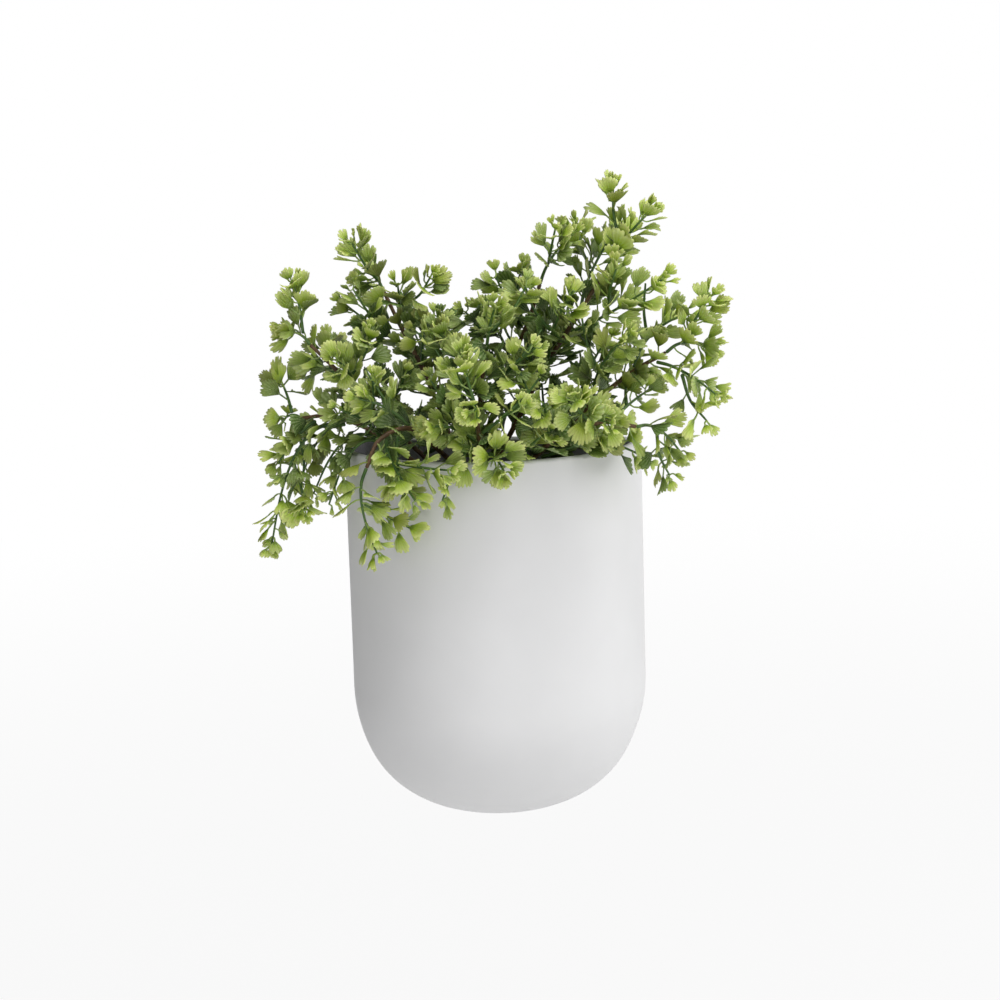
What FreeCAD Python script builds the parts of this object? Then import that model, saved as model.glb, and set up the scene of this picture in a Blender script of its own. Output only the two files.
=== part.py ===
"""A half-round ceramic wall planter with its wall fixing and an artificial leafy bush.

Frame: millimetres, +Z up. The origin is the centre of the screw where it crosses the wall's surface.
The wall is the plane y = 0 and the pot stands in front of it, at negative y. +X is to the right.
"""
import FreeCAD, Part
import math
import os
import random

from FreeCAD import Vector

os.makedirs("parts", exist_ok=True)

# ---------------------------------------------------------------- driving sizes (millimetres, degrees)
# pot: a half-round tube that closes in a rounded bottom, with a flat back
pot_width = 150.0
side_length = 15.0         # straight return from the round front to the wall; half the width adds to it
pot_height = 190.0
pot_wall = 4.0
rim_narrowing = 0.8        # the rim is this much nearer the middle than the widest place, on each side
flank_radius = 78.0        # first, gentle arc of the outline below the straight flank
flank_turn = 25.0
shoulder_radius = 50.0     # second, tighter arc; the third arc closes the bottom
shoulder_turn = 45.0
rim_round = 1.7
back_edge_round = 3.0      # outer edge that lies against the wall
inner_corner_round = 2.0   # inside corner between the bowed wall and the back

# wall fixing
screw_below_rim = 28.0
shank_radius = 2.0
head_radius = 4.0
head_height = 2.8
head_chamfer = 1.2
head_slot_width = 1.0
head_slot_depth = 1.2
head_cross = 0.62          # of the head's radius that the crossed slots take
screw_length = 40.0        # under the head
screw_point = 5.0
screw_tip = 0.125          # of the shank's radius, at the point's end
screw_free_distance = 2.5  # between the head and what grows in the pot
plug_radius = 3.0
plug_length = 30.0
plug_closed_end = 6.0      # the ring at the mouth that isn't slit
plug_slit = 1.0
plug_tip_chamfer = 1.0
thread_clearance = 0.05    # between the screw's shank and the plug's bore
head_clearance = 0.3       # between the screw's head and the back wall

# keyhole in the back wall
slot_clearance = 0.4       # on each side of the shank
hang_gap = 0.05            # between the shank and the top of the slot, with the pot hung up
keyhole_drop = 9.3         # from the top of the slot down to the hole that the head passes
keyhole_clearance = 0.75   # round the head
recess_margin = 2.5
recess_depth = 1.0

# foam that holds the bush, cut to the cavity with flat faces
foam_below_rim = 46.0
foam_clearance = 0.3
foam_bow_faces = 12
foam_levels = (0.0, 0.44, 0.63, 0.79, 0.90, 0.965)   # from the foam's top to its lowest cut
foam_hole_depth = 42.0
foam_hole_clearance = 0.25

# bush: one stem, brown branches, green sprays with fan-shaped leaves
stem_radius = 3.0
stem_from_wall = 44.0
knuckle_radius = 6.0       # the bound thickening from which the branches spread
knuckle_below_rim = 21.0
knuckle_neck = 1.6         # heights and widths of the knuckle's form, as shares of its radius
knuckle_band = 0.42
knuckle_band_width = 0.95
knuckle_top = 0.92
knuckle_top_width = 0.45
stem_sides = 8
stem_hole_gap = 2.0        # free depth under the stem's end
bush_reach = 100.0         # the places of branches and sprays below are hundredths of it
branch_radius = 1.25
spray_radius = 0.85
wire_sides = 6
knuckle_standoff = 0.54    # from the knuckle's radius to a branch's end, for the corners of both
seat_gap = 0.15            # between a branch and the knuckle, a spray and its branch, a leaf and its stem
spray_lean = 0.8           # how much a spray starts along its branch, for one part sideways
spray_bend = 0.4           # where along a spray its bend is pulled from, as a share of its span
spray_runs = 4
twig_place = 0.42          # where a side twig leaves its spray, as a share of the spray's length
twig_lean = 48.0           # degrees between a twig and its spray
twig_length = 25.0
twig_lift = 0.35           # how much a twig turns upwards and along its spray halfway
crown_middle = (0, -56, 60)    # the place that the twigs turn towards
twig_tries = 14
twig_scatter = 15.0        # how much nearer to it a less turned twig may seem
collar_shifts = (0, 0.04, -0.04, 0.08, -0.08, 0.12, -0.12, 0.16)    # of a share, until there is room
wire_free_distance = 2.35  # kept between the middles of two wires, where neither carries the other
wire_sample_step = 0.9

# leaves
leaf_length = 12.5
leaf_width = 14.0
leaf_base_width = 1.5
leaf_widest_at = 0.68      # of its length
leaf_end_width = 0.45      # of its width
leaf_thickness = 0.8
leaf_spacing = 10.5
leaf_bare_foot = 5.0       # of a stem, without leaves
leaf_tilt = 60.0           # degrees between a leaf and its stem
tip_leaf_tilt = 37.0
tip_leaf_size = 0.9
turn_scatter = 0.30        # radians that one turn of leaves is off its quarter turn from the last
around_scatter = 0.12      # radians that a leaf shifts round its stem, more with each attempt
lean_scatter = 0.25        # radians
twist_scatter = 0.35       # radians
leaf_sizes = (0.88, 1.08)
leaf_attempts = 14
leaf_free_distance = 3.0   # kept between the sampled points of any two leaves of different sprays
own_leaf_distance = 2.4    # the same between two leaves of one spray, away from their feet
leaf_sample_step = 1.8
leaf_depth_inside = 11.0   # how far below the rim leaves reach inside the pot
pot_free_distance = 2.0    # kept between a leaf and the pot, all the way as the bush is lifted out
wall_free_distance = 3.0
seed = 11

# ---------------------------------------------------------------- places worked out from those sizes
rim_z = screw_below_rim
half_width = pot_width / 2
foam_top_z = rim_z - foam_below_rim
knuckle = Vector(0, -stem_from_wall, rim_z - knuckle_below_rim)

# first run of each branch, and then the points that it passes, from the screw
BRANCHES = {
    "top_right": ((0.45, 0.15, 0.88), [(16, -41, 36), (34, -43, 68), (52, -46, 94), (64, -47, 112)]),
    "top_middle": ((-0.05, 0.50, 0.86), [(2, -29, 36), (11, -29, 62), (24, -34, 88), (31, -38, 106)]),
    "right": ((0.88, 0.05, 0.47), [(30, -43, 26), (54, -46, 48), (76, -50, 65), (92, -51, 74)]),
    "low_right": ((0.75, -0.60, 0.28), [(22, -60, 17), (42, -67, 36), (64, -70, 44), (80, -69, 42)]),
    "front": ((0.25, -0.92, 0.30), [(7, -66, 17), (9, -80, 35), (12, -94, 48)]),
    "top_left": ((-0.50, 0.10, 0.86), [(-15, -41, 34), (-26, -42, 64), (-38, -44, 90), (-45, -45, 106)]),
    "left": ((-0.90, 0.05, 0.44), [(-28, -43, 24), (-50, -47, 46), (-68, -53, 68), (-79, -56, 80)]),
    "low_left": ((-0.80, -0.50, 0.33), [(-22, -58, 18), (-46, -62, 38), (-68, -62, 46), (-84, -59, 45)]),
    "front_left": ((-0.30, -0.75, 0.60), [(-10, -67, 27), (-22, -84, 43), (-33, -98, 40), (-38, -104, 28)]),
    "front_middle": ((0.10, -0.45, 0.88), [(4, -57, 34), (8, -70, 58), (13, -77, 78)]),
}

# each spray: how far along its branch it starts, where its tip is, and how far its middle arches up
SPRAYS = {
    "top_right": [(1.00, (86, -50, 139), 3), (0.82, (72, -36, 136), 4), (0.72, (92, -60, 108), 6),
                  (0.58, (52, -66, 104), 4), (0.45, (34, -62, 88), 5)],
    "top_middle": [(1.00, (48, -43, 129), 2), (0.80, (24, -46, 114), 5), (0.62, (2, -38, 96), 5),
                   (0.50, (34, -20, 92), 4)],
    "right": [(1.00, (114, -50, 76), 4), (0.85, (102, -46, 92), 4), (0.95, (116, -64, 56), 3),
              (0.62, (78, -68, 84), 6), (0.50, (62, -28, 80), 5)],
    "low_right": [(1.00, (100, -66, 30), 5), (0.88, (86, -52, 58), 3), (0.72, (72, -90, 46), 7),
                  (0.55, (42, -94, 56), 5), (0.45, (48, -44, 52), 3)],
    "front": [(1.00, (15, -112, 54), 4), (0.85, (34, -104, 56), 4), (0.75, (-8, -99, 46), 5)],
    "top_left": [(1.00, (-53, -46, 114), 2), (0.84, (-34, -56, 108), 4), (0.70, (-66, -44, 100), 5),
                 (0.60, (-20, -62, 92), 5), (0.45, (-36, -24, 84), 4)],
    "left": [(1.00, (-91, -58, 87), 3), (0.80, (-84, -44, 68), 4), (0.70, (-60, -74, 74), 6),
             (0.50, (-44, -66, 66), 5)],
    "low_left": [(1.00, (-98, -50, 42), 4), (0.92, (-95, -66, 24), 5), (0.80, (-98, -74, -16), 12),
                 (0.55, (-56, -84, 52), 5)],
    "front_left": [(1.00, (-34, -107, -11), 2), (0.80, (-14, -110, 14), 5), (0.62, (-44, -92, 58), 5)],
    "front_middle": [(1.00, (20, -88, 98), 3), (0.80, (-8, -86, 88), 5), (0.70, (38, -86, 80), 6),
                     (0.60, (4, -100, 72), 5)],
}

# the collar: short stems low on the branches, round the pot's mouth, as (branch, share, tip, arch)
COLLAR = {
    "right": [("right", 0.25, (62, -24, 42), 4), ("low_right", 0.35, (66, -68, 38), 6),
              ("low_right", 0.25, (46, -86, 44), 8), ("low_right", 0.60, (84, -50, 24), 8)],
    "front": [("front", 0.45, (26, -104, 26), 10), ("front", 0.60, (-2, -108, 14), 12),
              ("front_left", 0.72, (-22, -106, 20), 8), ("front_middle", 0.30, (-14, -88, 46), 5)],
    "left": [("low_left", 0.55, (-80, -60, 8), 14), ("low_left", 0.45, (-66, -78, 6), 16),
             ("left", 0.25, (-60, -24, 42), 4), ("low_left", 0.75, (-92, -42, 14), 8)],
}


# ---------------------------------------------------------------- solids with flat faces
def flat_faced_solid(rings):
    """A closed solid through rings of corners: flat ends, and flat four-sided faces between the rings."""
    def face(corners):
        return Part.Face(Part.makePolygon(list(corners) + [corners[0]]))

    faces = [face(rings[0]), face(rings[-1])]
    for lower, upper in zip(rings, rings[1:]):
        for i in range(len(lower)):
            j = (i + 1) % len(lower)
            faces.append(face([lower[i], lower[j], upper[j], upper[i]]))
    solid = Part.Solid(Part.Shell(faces))
    if solid.Volume < 0:
        solid.reverse()
    return solid


def wire_solid(route, radius):
    """A wire of constant thickness with flat sides, mitred at each point of its route."""
    runs = [(b - a).normalize() for a, b in zip(route, route[1:])]
    across = runs[0].cross(Vector(0.31, 0.17, 0.93)).normalize()
    other = runs[0].cross(across)
    turns = [2 * math.pi * i / wire_sides for i in range(wire_sides)]
    ring = [route[0] + across * (radius * math.cos(t)) + other * (radius * math.sin(t)) for t in turns]
    rings = [ring]
    for i, run in enumerate(runs):
        last = i == len(runs) - 1
        mitre = run if last else (run + runs[i + 1]).normalize()
        ring = [p + run * ((route[i + 1] - p).dot(mitre) / run.dot(mitre)) for p in ring]
        rings.append(ring)
    return flat_faced_solid(rings)


# ---------------------------------------------------------------- pot
def outline_arcs(inset):
    """The three arcs of the pot's outline below its straight flank, each as (centre, radius, from, to).

    The angles are turned from level. The centres are measured from the middle of the rim's plane.
    """
    first = math.radians(flank_turn)
    second = math.radians(flank_turn + shoulder_turn)
    quarter = math.pi / 2
    bottom_radius = (half_width - flank_radius * (1 - math.cos(first))
                     - shoulder_radius * (math.cos(first) - math.cos(second))) / math.cos(second)
    lowest = Vector(0, 0, -pot_height)
    bottom_centre = lowest + Vector(0, 0, bottom_radius)
    turned = Vector(math.cos(second), 0, -math.sin(second))
    shoulder_centre = bottom_centre + turned * (bottom_radius - shoulder_radius)
    turned = Vector(math.cos(first), 0, -math.sin(first))
    flank_centre = shoulder_centre + turned * (shoulder_radius - flank_radius)
    return [(flank_centre, flank_radius - inset, 0.0, first),
            (shoulder_centre, shoulder_radius - inset, first, second),
            (bottom_centre, bottom_radius - inset, second, quarter)]


def on_arc(centre, radius, angle):
    return centre + Vector(math.cos(angle), 0, -math.sin(angle)) * radius


def outline_half_width(inset, drop):
    """Half the width of the pot, less the inset, at a depth below the rim."""
    arcs = outline_arcs(inset)
    flank_end = -on_arc(*arcs[0][:3]).z
    if drop <= flank_end:
        return half_width - inset - rim_narrowing * (1 - drop / flank_end)
    for centre, radius, _, to_angle in arcs:
        if drop <= -on_arc(centre, radius, to_angle).z:
            break
    return centre.x + math.sqrt(max(radius ** 2 - (drop + centre.z) ** 2, 0.0))


def half_round(inset):
    """The pot's outer form, or with an inset its cavity: a round front and two straight returns."""
    arcs = outline_arcs(inset)
    rim = Vector(half_width - rim_narrowing - inset, 0, 0)
    edges = [Part.makeLine(rim, on_arc(*arcs[0][:3]))]
    for centre, radius, start, end in arcs:
        points = [on_arc(centre, radius, a) for a in (start, (start + end) / 2, end)]
        edges.append(Part.Arc(*points).toShape())
    lowest = on_arc(arcs[-1][0], arcs[-1][1], math.pi / 2)
    edges.append(Part.makeLine(lowest, Vector(0, 0, 0)))
    edges.append(Part.makeLine(Vector(0, 0, 0), rim))
    section = Part.Face(Part.Wire(edges))
    section.translate(Vector(0, -side_length, rim_z))
    front = section.revolve(Vector(0, -side_length, 0), Vector(0, 0, 1), -180)
    right_return = section.extrude(Vector(0, side_length - inset, 0))
    left_return = right_return.mirror(Vector(0, 0, 0), Vector(1, 0, 0))
    return front.fuse([right_return, left_return]).removeSplitter().Solids[0]


def edges_in(solid, low, high):
    """The edges that lie inside a box given by two corners."""
    box = FreeCAD.BoundBox(low, high)
    box.enlarge(0.001)
    return [e for e in solid.Edges if box.isInside(e.BoundBox)]


def rounded_back(solid, back_y, radius):
    """Rounds the edge where the bowed wall meets the flat back, from rim to rim."""
    reach = 2 * pot_height
    edges = edges_in(solid, Vector(-reach, back_y, -reach), Vector(reach, back_y, reach))
    upright = [e for e in edges if e.BoundBox.ZMin < rim_z - radius]
    return solid.makeFillet(radius, upright)


def keyhole(reach, margin):
    """The keyhole's outline, as a solid from the wall's plane into the pot, grown by a margin."""
    slot_radius = shank_radius + slot_clearance + margin
    hole_radius = head_radius + keyhole_clearance + margin
    slot_top = Vector(0, 0, hang_gap - slot_clearance)
    hole = slot_top - Vector(0, 0, keyhole_drop)
    into_pot = Vector(0, -1, 0)
    slot = Part.makeCylinder(slot_radius, reach, slot_top, into_pot)
    entry = Part.makeCylinder(hole_radius, reach, hole, into_pot)
    neck = Part.makeBox(2 * slot_radius, reach, keyhole_drop, Vector(-slot_radius, -reach, hole.z))
    return entry.fuse([neck, slot])


def recess():
    """A shallow round-ended pocket in the back face, so that the plug's mouth never bears on the pot."""
    radius = head_radius + keyhole_clearance + recess_margin
    top = Vector(0, 0, hang_gap - slot_clearance)
    bottom = top - Vector(0, 0, keyhole_drop)
    into_pot = Vector(0, -1, 0)
    upper = Part.makeCylinder(radius, recess_depth, top, into_pot)
    lower = Part.makeCylinder(radius, recess_depth, bottom, into_pot)
    corner = Vector(-radius, -recess_depth, bottom.z)
    middle = Part.makeBox(2 * radius, recess_depth, keyhole_drop, corner)
    return upper.fuse([lower, middle]).removeSplitter()


def pot_shell():
    outside = rounded_back(half_round(0.0), 0.0, back_edge_round)
    cavity = rounded_back(half_round(pot_wall), -pot_wall, inner_corner_round)
    shell = outside.cut(cavity)
    reach = 2 * pot_width
    rim_edges = edges_in(shell, Vector(-reach, -reach, rim_z), Vector(reach, reach, rim_z))
    shell = shell.makeFillet(rim_round, rim_edges)
    return shell.cut(keyhole(2 * pot_wall, 0.0)).cut(recess()).Solids[0]


# ---------------------------------------------------------------- foam
def foam_ring(drop, narrowing):
    """The corners of one level cut through the foam, a half-round polygon inside the cavity."""
    inset = pot_wall + foam_clearance
    radius = outline_half_width(inset, drop) - narrowing
    back_y = -(pot_wall + inner_corner_round)
    z = rim_z - drop
    corners = [Vector(radius, back_y, z)]
    for i in range(foam_bow_faces + 1):
        turn = math.pi * i / foam_bow_faces
        corners.append(Vector(radius * math.cos(turn), -side_length - radius * math.sin(turn), z))
    corners.append(Vector(-radius, back_y, z))
    return corners


def foam_block():
    cavity_depth = pot_height - pot_wall - foam_clearance
    drops = [foam_below_rim + (cavity_depth - foam_below_rim) * level for level in foam_levels]
    block = flat_faced_solid([foam_ring(drop, 0.0) for drop in drops])
    hole_radius = stem_radius + foam_hole_clearance
    mouth = Vector(knuckle.x, knuckle.y, foam_top_z - foam_hole_depth)
    hole = Part.makeCylinder(hole_radius, foam_hole_depth + 1, mouth, Vector(0, 0, 1))
    return block.cut(hole).Solids[0]


# ---------------------------------------------------------------- wall fixing
def wall_screw():
    """A round-headed screw along y: its head inside the pot, its shank through the keyhole."""
    seat_y = -(pot_wall + head_clearance)
    into_wall = Vector(0, 1, 0)
    shank = Part.makeCylinder(shank_radius, screw_length - screw_point, Vector(0, seat_y, 0), into_wall)
    point = Part.makeCone(shank_radius, shank_radius * screw_tip, screw_point,
                          Vector(0, seat_y + screw_length - screw_point, 0), into_wall)
    head = Part.makeCylinder(head_radius, head_height, Vector(0, seat_y - head_height, 0), into_wall)
    head_rim = [e for e in head.Edges if e.BoundBox.YMax < seat_y - head_height / 2]
    head = head.makeChamfer(head_chamfer, head_rim)
    reach = 2 * head_radius
    slot_y = seat_y - head_height
    upright = Part.makeBox(head_slot_width, head_slot_depth, reach,
                           Vector(-head_slot_width / 2, slot_y, -reach / 2))
    level = Part.makeBox(reach, head_slot_depth, head_slot_width,
                         Vector(-reach / 2, slot_y, -head_slot_width / 2))
    cross_round = Part.makeCylinder(head_radius * head_cross, head_slot_depth, Vector(0, slot_y, 0),
                                    into_wall)
    cross = upright.fuse(level).common(cross_round)
    return head.cut(cross).fuse([shank, point]).removeSplitter().Solids[0]


def wall_plug():
    """The nylon sleeve in the wall, flush with its surface and slit so that the screw can spread it."""
    into_wall = Vector(0, 1, 0)
    sleeve = Part.makeCylinder(plug_radius, plug_length, Vector(0, 0, 0), into_wall)
    far_end = [e for e in sleeve.Edges if e.BoundBox.YMin > plug_length / 2]
    sleeve = sleeve.makeChamfer(plug_tip_chamfer, far_end)
    bore = Part.makeCylinder(shank_radius + thread_clearance, plug_length, Vector(0, 0, 0), into_wall)
    slit = Part.makeBox(2 * plug_radius, plug_length, plug_slit,
                        Vector(-plug_radius, plug_closed_end, -plug_slit / 2))
    # a bridge at the far end keeps the two halves one piece
    bridge = plug_length - 2 * plug_tip_chamfer
    slit = slit.common(Part.makeBox(4 * plug_radius, bridge, 4 * plug_radius,
                                    Vector(-2 * plug_radius, 0, -2 * plug_radius)))
    return sleeve.cut(bore).cut(slit).Solids[0]


# ---------------------------------------------------------------- bush
class KeepOut:
    """Remembers points of pieces that are already placed, and tells whether new points are too near."""

    def __init__(self, distance):
        self.distance = distance
        self.cells = {}

    def cell(self, point):
        return tuple(int(math.floor(c / self.distance)) for c in point)

    def add(self, points, owner):
        for point in points:
            self.cells.setdefault(self.cell(point), []).append((point, owner))

    def is_free(self, points, owner):
        for point in points:
            i, j, k = self.cell(point)
            for a in (i - 1, i, i + 1):
                for b in (j - 1, j, j + 1):
                    for c in (k - 1, k, k + 1):
                        for other, its_owner in self.cells.get((a, b, c), ()):
                            if its_owner != owner and (other - point).Length < self.distance:
                                return False
        return True


def clear_of_pot(point, lowest_inside):
    """Whether a point of the bush stays clear of wall, pot, foam and screw, also as the bush is lifted."""
    if point.y > -wall_free_distance:
        return False
    if point.z > rim_z + pot_free_distance:
        return True
    middle_y = min(point.y + side_length, 0.0)
    from_axis = math.hypot(point.x, middle_y)
    outside = from_axis > half_width + pot_free_distance
    narrowest = half_width - rim_narrowing - pot_wall
    before_screw = point.y < -(pot_wall + head_clearance + head_height + screw_free_distance)
    inside = from_axis < narrowest - pot_free_distance and before_screw
    return outside or (inside and point.z > lowest_inside)


def points_along(route, step):
    points = []
    for a, b in zip(route, route[1:]):
        count = max(1, int(math.ceil((b - a).Length / step)))
        points += [a + (b - a) * (i / count) for i in range(count)]
    return points + [route[-1]]


def at_distance(route, distance):
    """The point at a distance along a route, and the direction of the route there."""
    for a, b in zip(route, route[1:]):
        length = (b - a).Length
        if distance <= length:
            break
        distance -= length
    run = (b - a).normalize()
    return a + run * distance, run


def route_length(route):
    return sum((b - a).Length for a, b in zip(route, route[1:]))


def place(hundredths):
    """A point of the bush from the tables, in millimetres from the screw."""
    return Vector(*hundredths) * (bush_reach / 100)


def knuckle_start(run):
    """Where a wire that leaves the knuckle in a direction begins."""
    return knuckle + run * (knuckle_radius + knuckle_standoff + seat_gap)


def branch_route(name):
    first_run, points = BRANCHES[name]
    run = Vector(*first_run).normalize()
    start = knuckle_start(run)
    return [start, start + run * (2 * knuckle_radius)] + [place(p) for p in points]


def arched(start, control, tip, runs):
    """Points on the curve that leaves its start towards the control point and ends at the tip."""
    shares = [i / runs for i in range(runs + 1)]
    return [start * (1 - t) ** 2 + control * (2 * t * (1 - t)) + tip * t ** 2 for t in shares]


def spray_route(branch, share, tip, arch):
    """An arched route from beside its branch to its tip."""
    branch_point, branch_run = at_distance(branch, share * route_length(branch))
    aim = (tip - branch_point).normalize()
    if share == 1.0:
        start = branch[-1] + branch_run * (seat_gap + spray_radius / 2)
        lean = branch_run
    else:
        sideways = (aim - branch_run * aim.dot(branch_run)).normalize()
        lean = (sideways + branch_run * spray_lean).normalize()
        standoff = branch_radius + spray_radius * abs(lean.dot(branch_run)) + seat_gap
        start = branch_point + sideways * standoff
    control = start + lean * ((tip - start).Length * spray_bend) + Vector(0, 0, arch)
    return arched(start, control, tip, spray_runs)


def beside(run, turn):
    """The direction square to a run, at an angle around it."""
    across = run.cross(Vector(0.31, 0.17, 0.93)).normalize()
    return across * math.cos(turn) + run.cross(across) * math.sin(turn)


def twig_route(stem, turn):
    """A twig of two runs that leaves a spray's stem sideways and then turns up along it."""
    point, run = at_distance(stem, twig_place * route_length(stem))
    outward = beside(run, turn)
    lean = run * math.cos(math.radians(twig_lean)) + outward * math.sin(math.radians(twig_lean))
    start = point + outward * (spray_radius * (1 + abs(lean.dot(run))) + seat_gap)
    middle = start + lean * (twig_length / 2)
    onward = (lean + (run + Vector(0, 0, 1)) * twig_lift).normalize()
    return [start, middle, middle + onward * (twig_length / 2)]


def wire_is_free(route, keep_out, owner):
    """Whether a wire stays clear of the pot and of all wires but its owner's."""
    points = points_along(route, wire_sample_step)
    lowest_inside = foam_top_z + pot_free_distance
    return all(clear_of_pot(p, lowest_inside) for p in points) and keep_out.is_free(points, owner)


def leaf_corners(base, along, normal, size):
    """A fan-shaped outline: a narrow foot, spreading sides and a broad, slightly pointed end."""
    side = normal.cross(along).normalize()
    length = leaf_length * size
    half = leaf_width * size / 2
    foot = leaf_base_width / 2
    widest = leaf_widest_at * length
    end = leaf_end_width * half
    outline = [(0.0, -foot), (0.0, foot), (widest, half), (length, end), (length, -end), (widest, -half)]
    return [base + along * a + side * s for a, s in outline]


def leaf_samples(base, along, normal, size):
    side = normal.cross(along).normalize()
    length = leaf_length * size
    half = leaf_width * size / 2
    points = []
    rows = int(math.ceil(length / leaf_sample_step))
    for i in range(2, rows + 1):
        reach = length * i / rows
        spread = half * (leaf_end_width if i == rows else min(1.0, reach / (leaf_widest_at * length)))
        count = max(1, int(math.ceil(2 * spread / leaf_sample_step)))
        for j in range(count + 1):
            points.append(base + along * reach + side * (spread * (2 * j / count - 1)))
    return points


def leaf_solid(base, along, normal, size):
    lift = normal * (leaf_thickness / 2)
    corners = leaf_corners(base, along, normal, size)
    return flat_faced_solid([[c - lift for c in corners], [c + lift for c in corners]])


def try_leaf(stem_point, run, around, tilt, twist, size):
    """A leaf's base, direction and normal for a turn around the stem, a tilt from it and a twist."""
    outward = beside(run, around)
    along = (run * math.cos(tilt) + outward * math.sin(tilt)).normalize()
    side = run.cross(outward).normalize()
    normal = side.cross(along).normalize()
    normal = (normal * math.cos(twist) + side * math.sin(twist)).normalize()
    foot = leaf_thickness / 2 + leaf_base_width / 2 * abs(math.sin(twist))
    base = stem_point + outward * (spray_radius + foot * abs(math.cos(tilt)) + seat_gap)
    return base, along, normal, size


def leaf_places(stem):
    """Where leaves stand on a stem: (distance, how many, tilt, size), from the tip to the bare foot."""
    length = route_length(stem)
    places = [(length - 0.2, 3, math.radians(tip_leaf_tilt), tip_leaf_size)]
    distance = length - leaf_spacing / 2
    while distance > leaf_bare_foot:
        places.append((distance, 2, math.radians(leaf_tilt), 1.0))
        distance -= leaf_spacing
    return places


def grow_leaves(name, stems, keep_out, chance):
    """The leaves of one spray, in turns of two along its stems and three at each tip, where they fit."""
    leaves = []
    own_leaves = KeepOut(own_leaf_distance)
    for number, stem in enumerate(stems):
        own_leaves.add(points_along(stem, leaf_sample_step), number)
    for number, stem in enumerate(stems):
        turn = chance.uniform(0, 2 * math.pi)
        for distance, count, tilt, size in leaf_places(stem):
            point, run = at_distance(stem, distance)
            turn += math.pi / 2 + chance.uniform(-turn_scatter, turn_scatter)
            for k in range(count):
                for attempt in range(leaf_attempts):
                    shift = chance.uniform(-around_scatter, around_scatter) * attempt
                    lean = tilt + chance.uniform(-lean_scatter, lean_scatter)
                    twist = chance.uniform(-twist_scatter, twist_scatter)
                    around = turn + 2 * math.pi * k / count + shift
                    leaf = try_leaf(point, run, around, lean, twist, size * chance.uniform(*leaf_sizes))
                    samples = leaf_samples(*leaf)
                    if (all(clear_of_pot(s, rim_z - leaf_depth_inside) for s in samples)
                            and keep_out.is_free(samples, name) and own_leaves.is_free(samples, number)):
                        leaves.append(leaf)
                        own_leaves.add(samples, "leaf")
                        break
    keep_out.add([s for leaf in leaves for s in leaf_samples(*leaf)], name)
    return leaves


def bush_stem():
    """The bound stem: an eight-sided rod that swells to a knuckle, where the branches spread."""
    lowest = foam_top_z - foam_hole_depth + stem_hole_gap
    half_edge = math.pi / stem_sides
    widen = 1 / math.cos(half_edge)     # the knuckle's flats, not its corners, lie at its radius
    band_radius = knuckle_radius * knuckle_band_width * widen
    levels = [(lowest, stem_radius), (knuckle.z - knuckle_neck * knuckle_radius, stem_radius),
              (knuckle.z - knuckle_band * knuckle_radius, band_radius),
              (knuckle.z + knuckle_band * knuckle_radius, band_radius),
              (knuckle.z + knuckle_top * knuckle_radius, knuckle_radius * knuckle_top_width * widen)]
    rings = []
    for z, radius in levels:
        ring = []
        for i in range(stem_sides):
            turn = half_edge * (2 * i + 1)
            ring.append(Vector(radius * math.cos(turn), knuckle.y + radius * math.sin(turn), z))
        rings.append(ring)
    return flat_faced_solid(rings)


def spray_stems(branches, chance):
    """The stems of every spray, as {name: routes}: a main stem with a twig, or a collar's short stems."""
    wires = KeepOut(wire_free_distance)
    for name, route in branches.items():
        wires.add(points_along(route, wire_sample_step), "branch_" + name)
    stems = {}
    for branch_name, rows in SPRAYS.items():
        for number, (share, tip, arch) in enumerate(rows, 1):
            name = f"spray_{branch_name}_{number}"
            route = spray_route(branches[branch_name], share, place(tip), arch * bush_reach / 100)
            stems[name] = [route]
            wires.add(points_along(route, wire_sample_step), name)
    for side, rows in COLLAR.items():
        name = "spray_collar_" + side
        stems[name] = []
        for branch_name, share, tip, arch in rows:
            for shift in collar_shifts:
                start = share + shift
                route = spray_route(branches[branch_name], start, place(tip), arch * bush_reach / 100)
                if wire_is_free(route, wires, "branch_" + branch_name):
                    stems[name].append(route)
                    wires.add(points_along(route, wire_sample_step), name)
                    break
            else:
                print("no room for a collar stem:", side, tip)
    for name in [name for name in stems if "collar" not in name]:
        turns = [2 * math.pi * i / twig_tries for i in range(twig_tries)]
        routes = [twig_route(stems[name][0], turn) for turn in turns]
        routes.sort(key=lambda r: (r[-1] - place(crown_middle)).Length + chance.uniform(0, twig_scatter))
        free = [route for route in routes if wire_is_free(route, wires, name)]
        if free:
            stems[name].append(free[0])
            wires.add(points_along(free[0], wire_sample_step), name)
    return stems


def bush_pieces():
    """Every branch and spray of the bush, as {name: shape}."""
    pieces = {}
    chance = random.Random(seed)
    branches = {name: branch_route(name) for name in BRANCHES}
    stems = spray_stems(branches, chance)
    keep_out = KeepOut(leaf_free_distance)
    for name, route in branches.items():
        pieces["branch_" + name] = wire_solid(route, branch_radius)
        keep_out.add(points_along(route, leaf_sample_step), name)
    for name, routes in stems.items():
        for route in routes:
            keep_out.add(points_along(route, leaf_sample_step), name)
    total = 0
    for name, routes in stems.items():
        leaves = grow_leaves(name, routes, keep_out, chance)
        stem_solids = [wire_solid(route, spray_radius) for route in routes]
        pieces[name] = Part.makeCompound(stem_solids + [leaf_solid(*leaf) for leaf in leaves])
        total += len(leaves)
    print(sum(len(routes) for routes in stems.values()), "stems,", total, "leaves")
    return pieces


# ---------------------------------------------------------------- build
def main():
    pieces = {
        "pot_shell": pot_shell(),
        "wall_screw": wall_screw(),
        "wall_plug": wall_plug(),
        "foam_block": foam_block(),
        "bush_stem": bush_stem(),
    }
    pieces.update(bush_pieces())
    for name, shape in pieces.items():
        if not shape.isValid():
            print("not valid:", name)
        shape.exportStep(f"parts/{name}.step")
    print(len(pieces), "nodes,", sum(len(s.Solids) for s in pieces.values()), "solids")


main()
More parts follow.
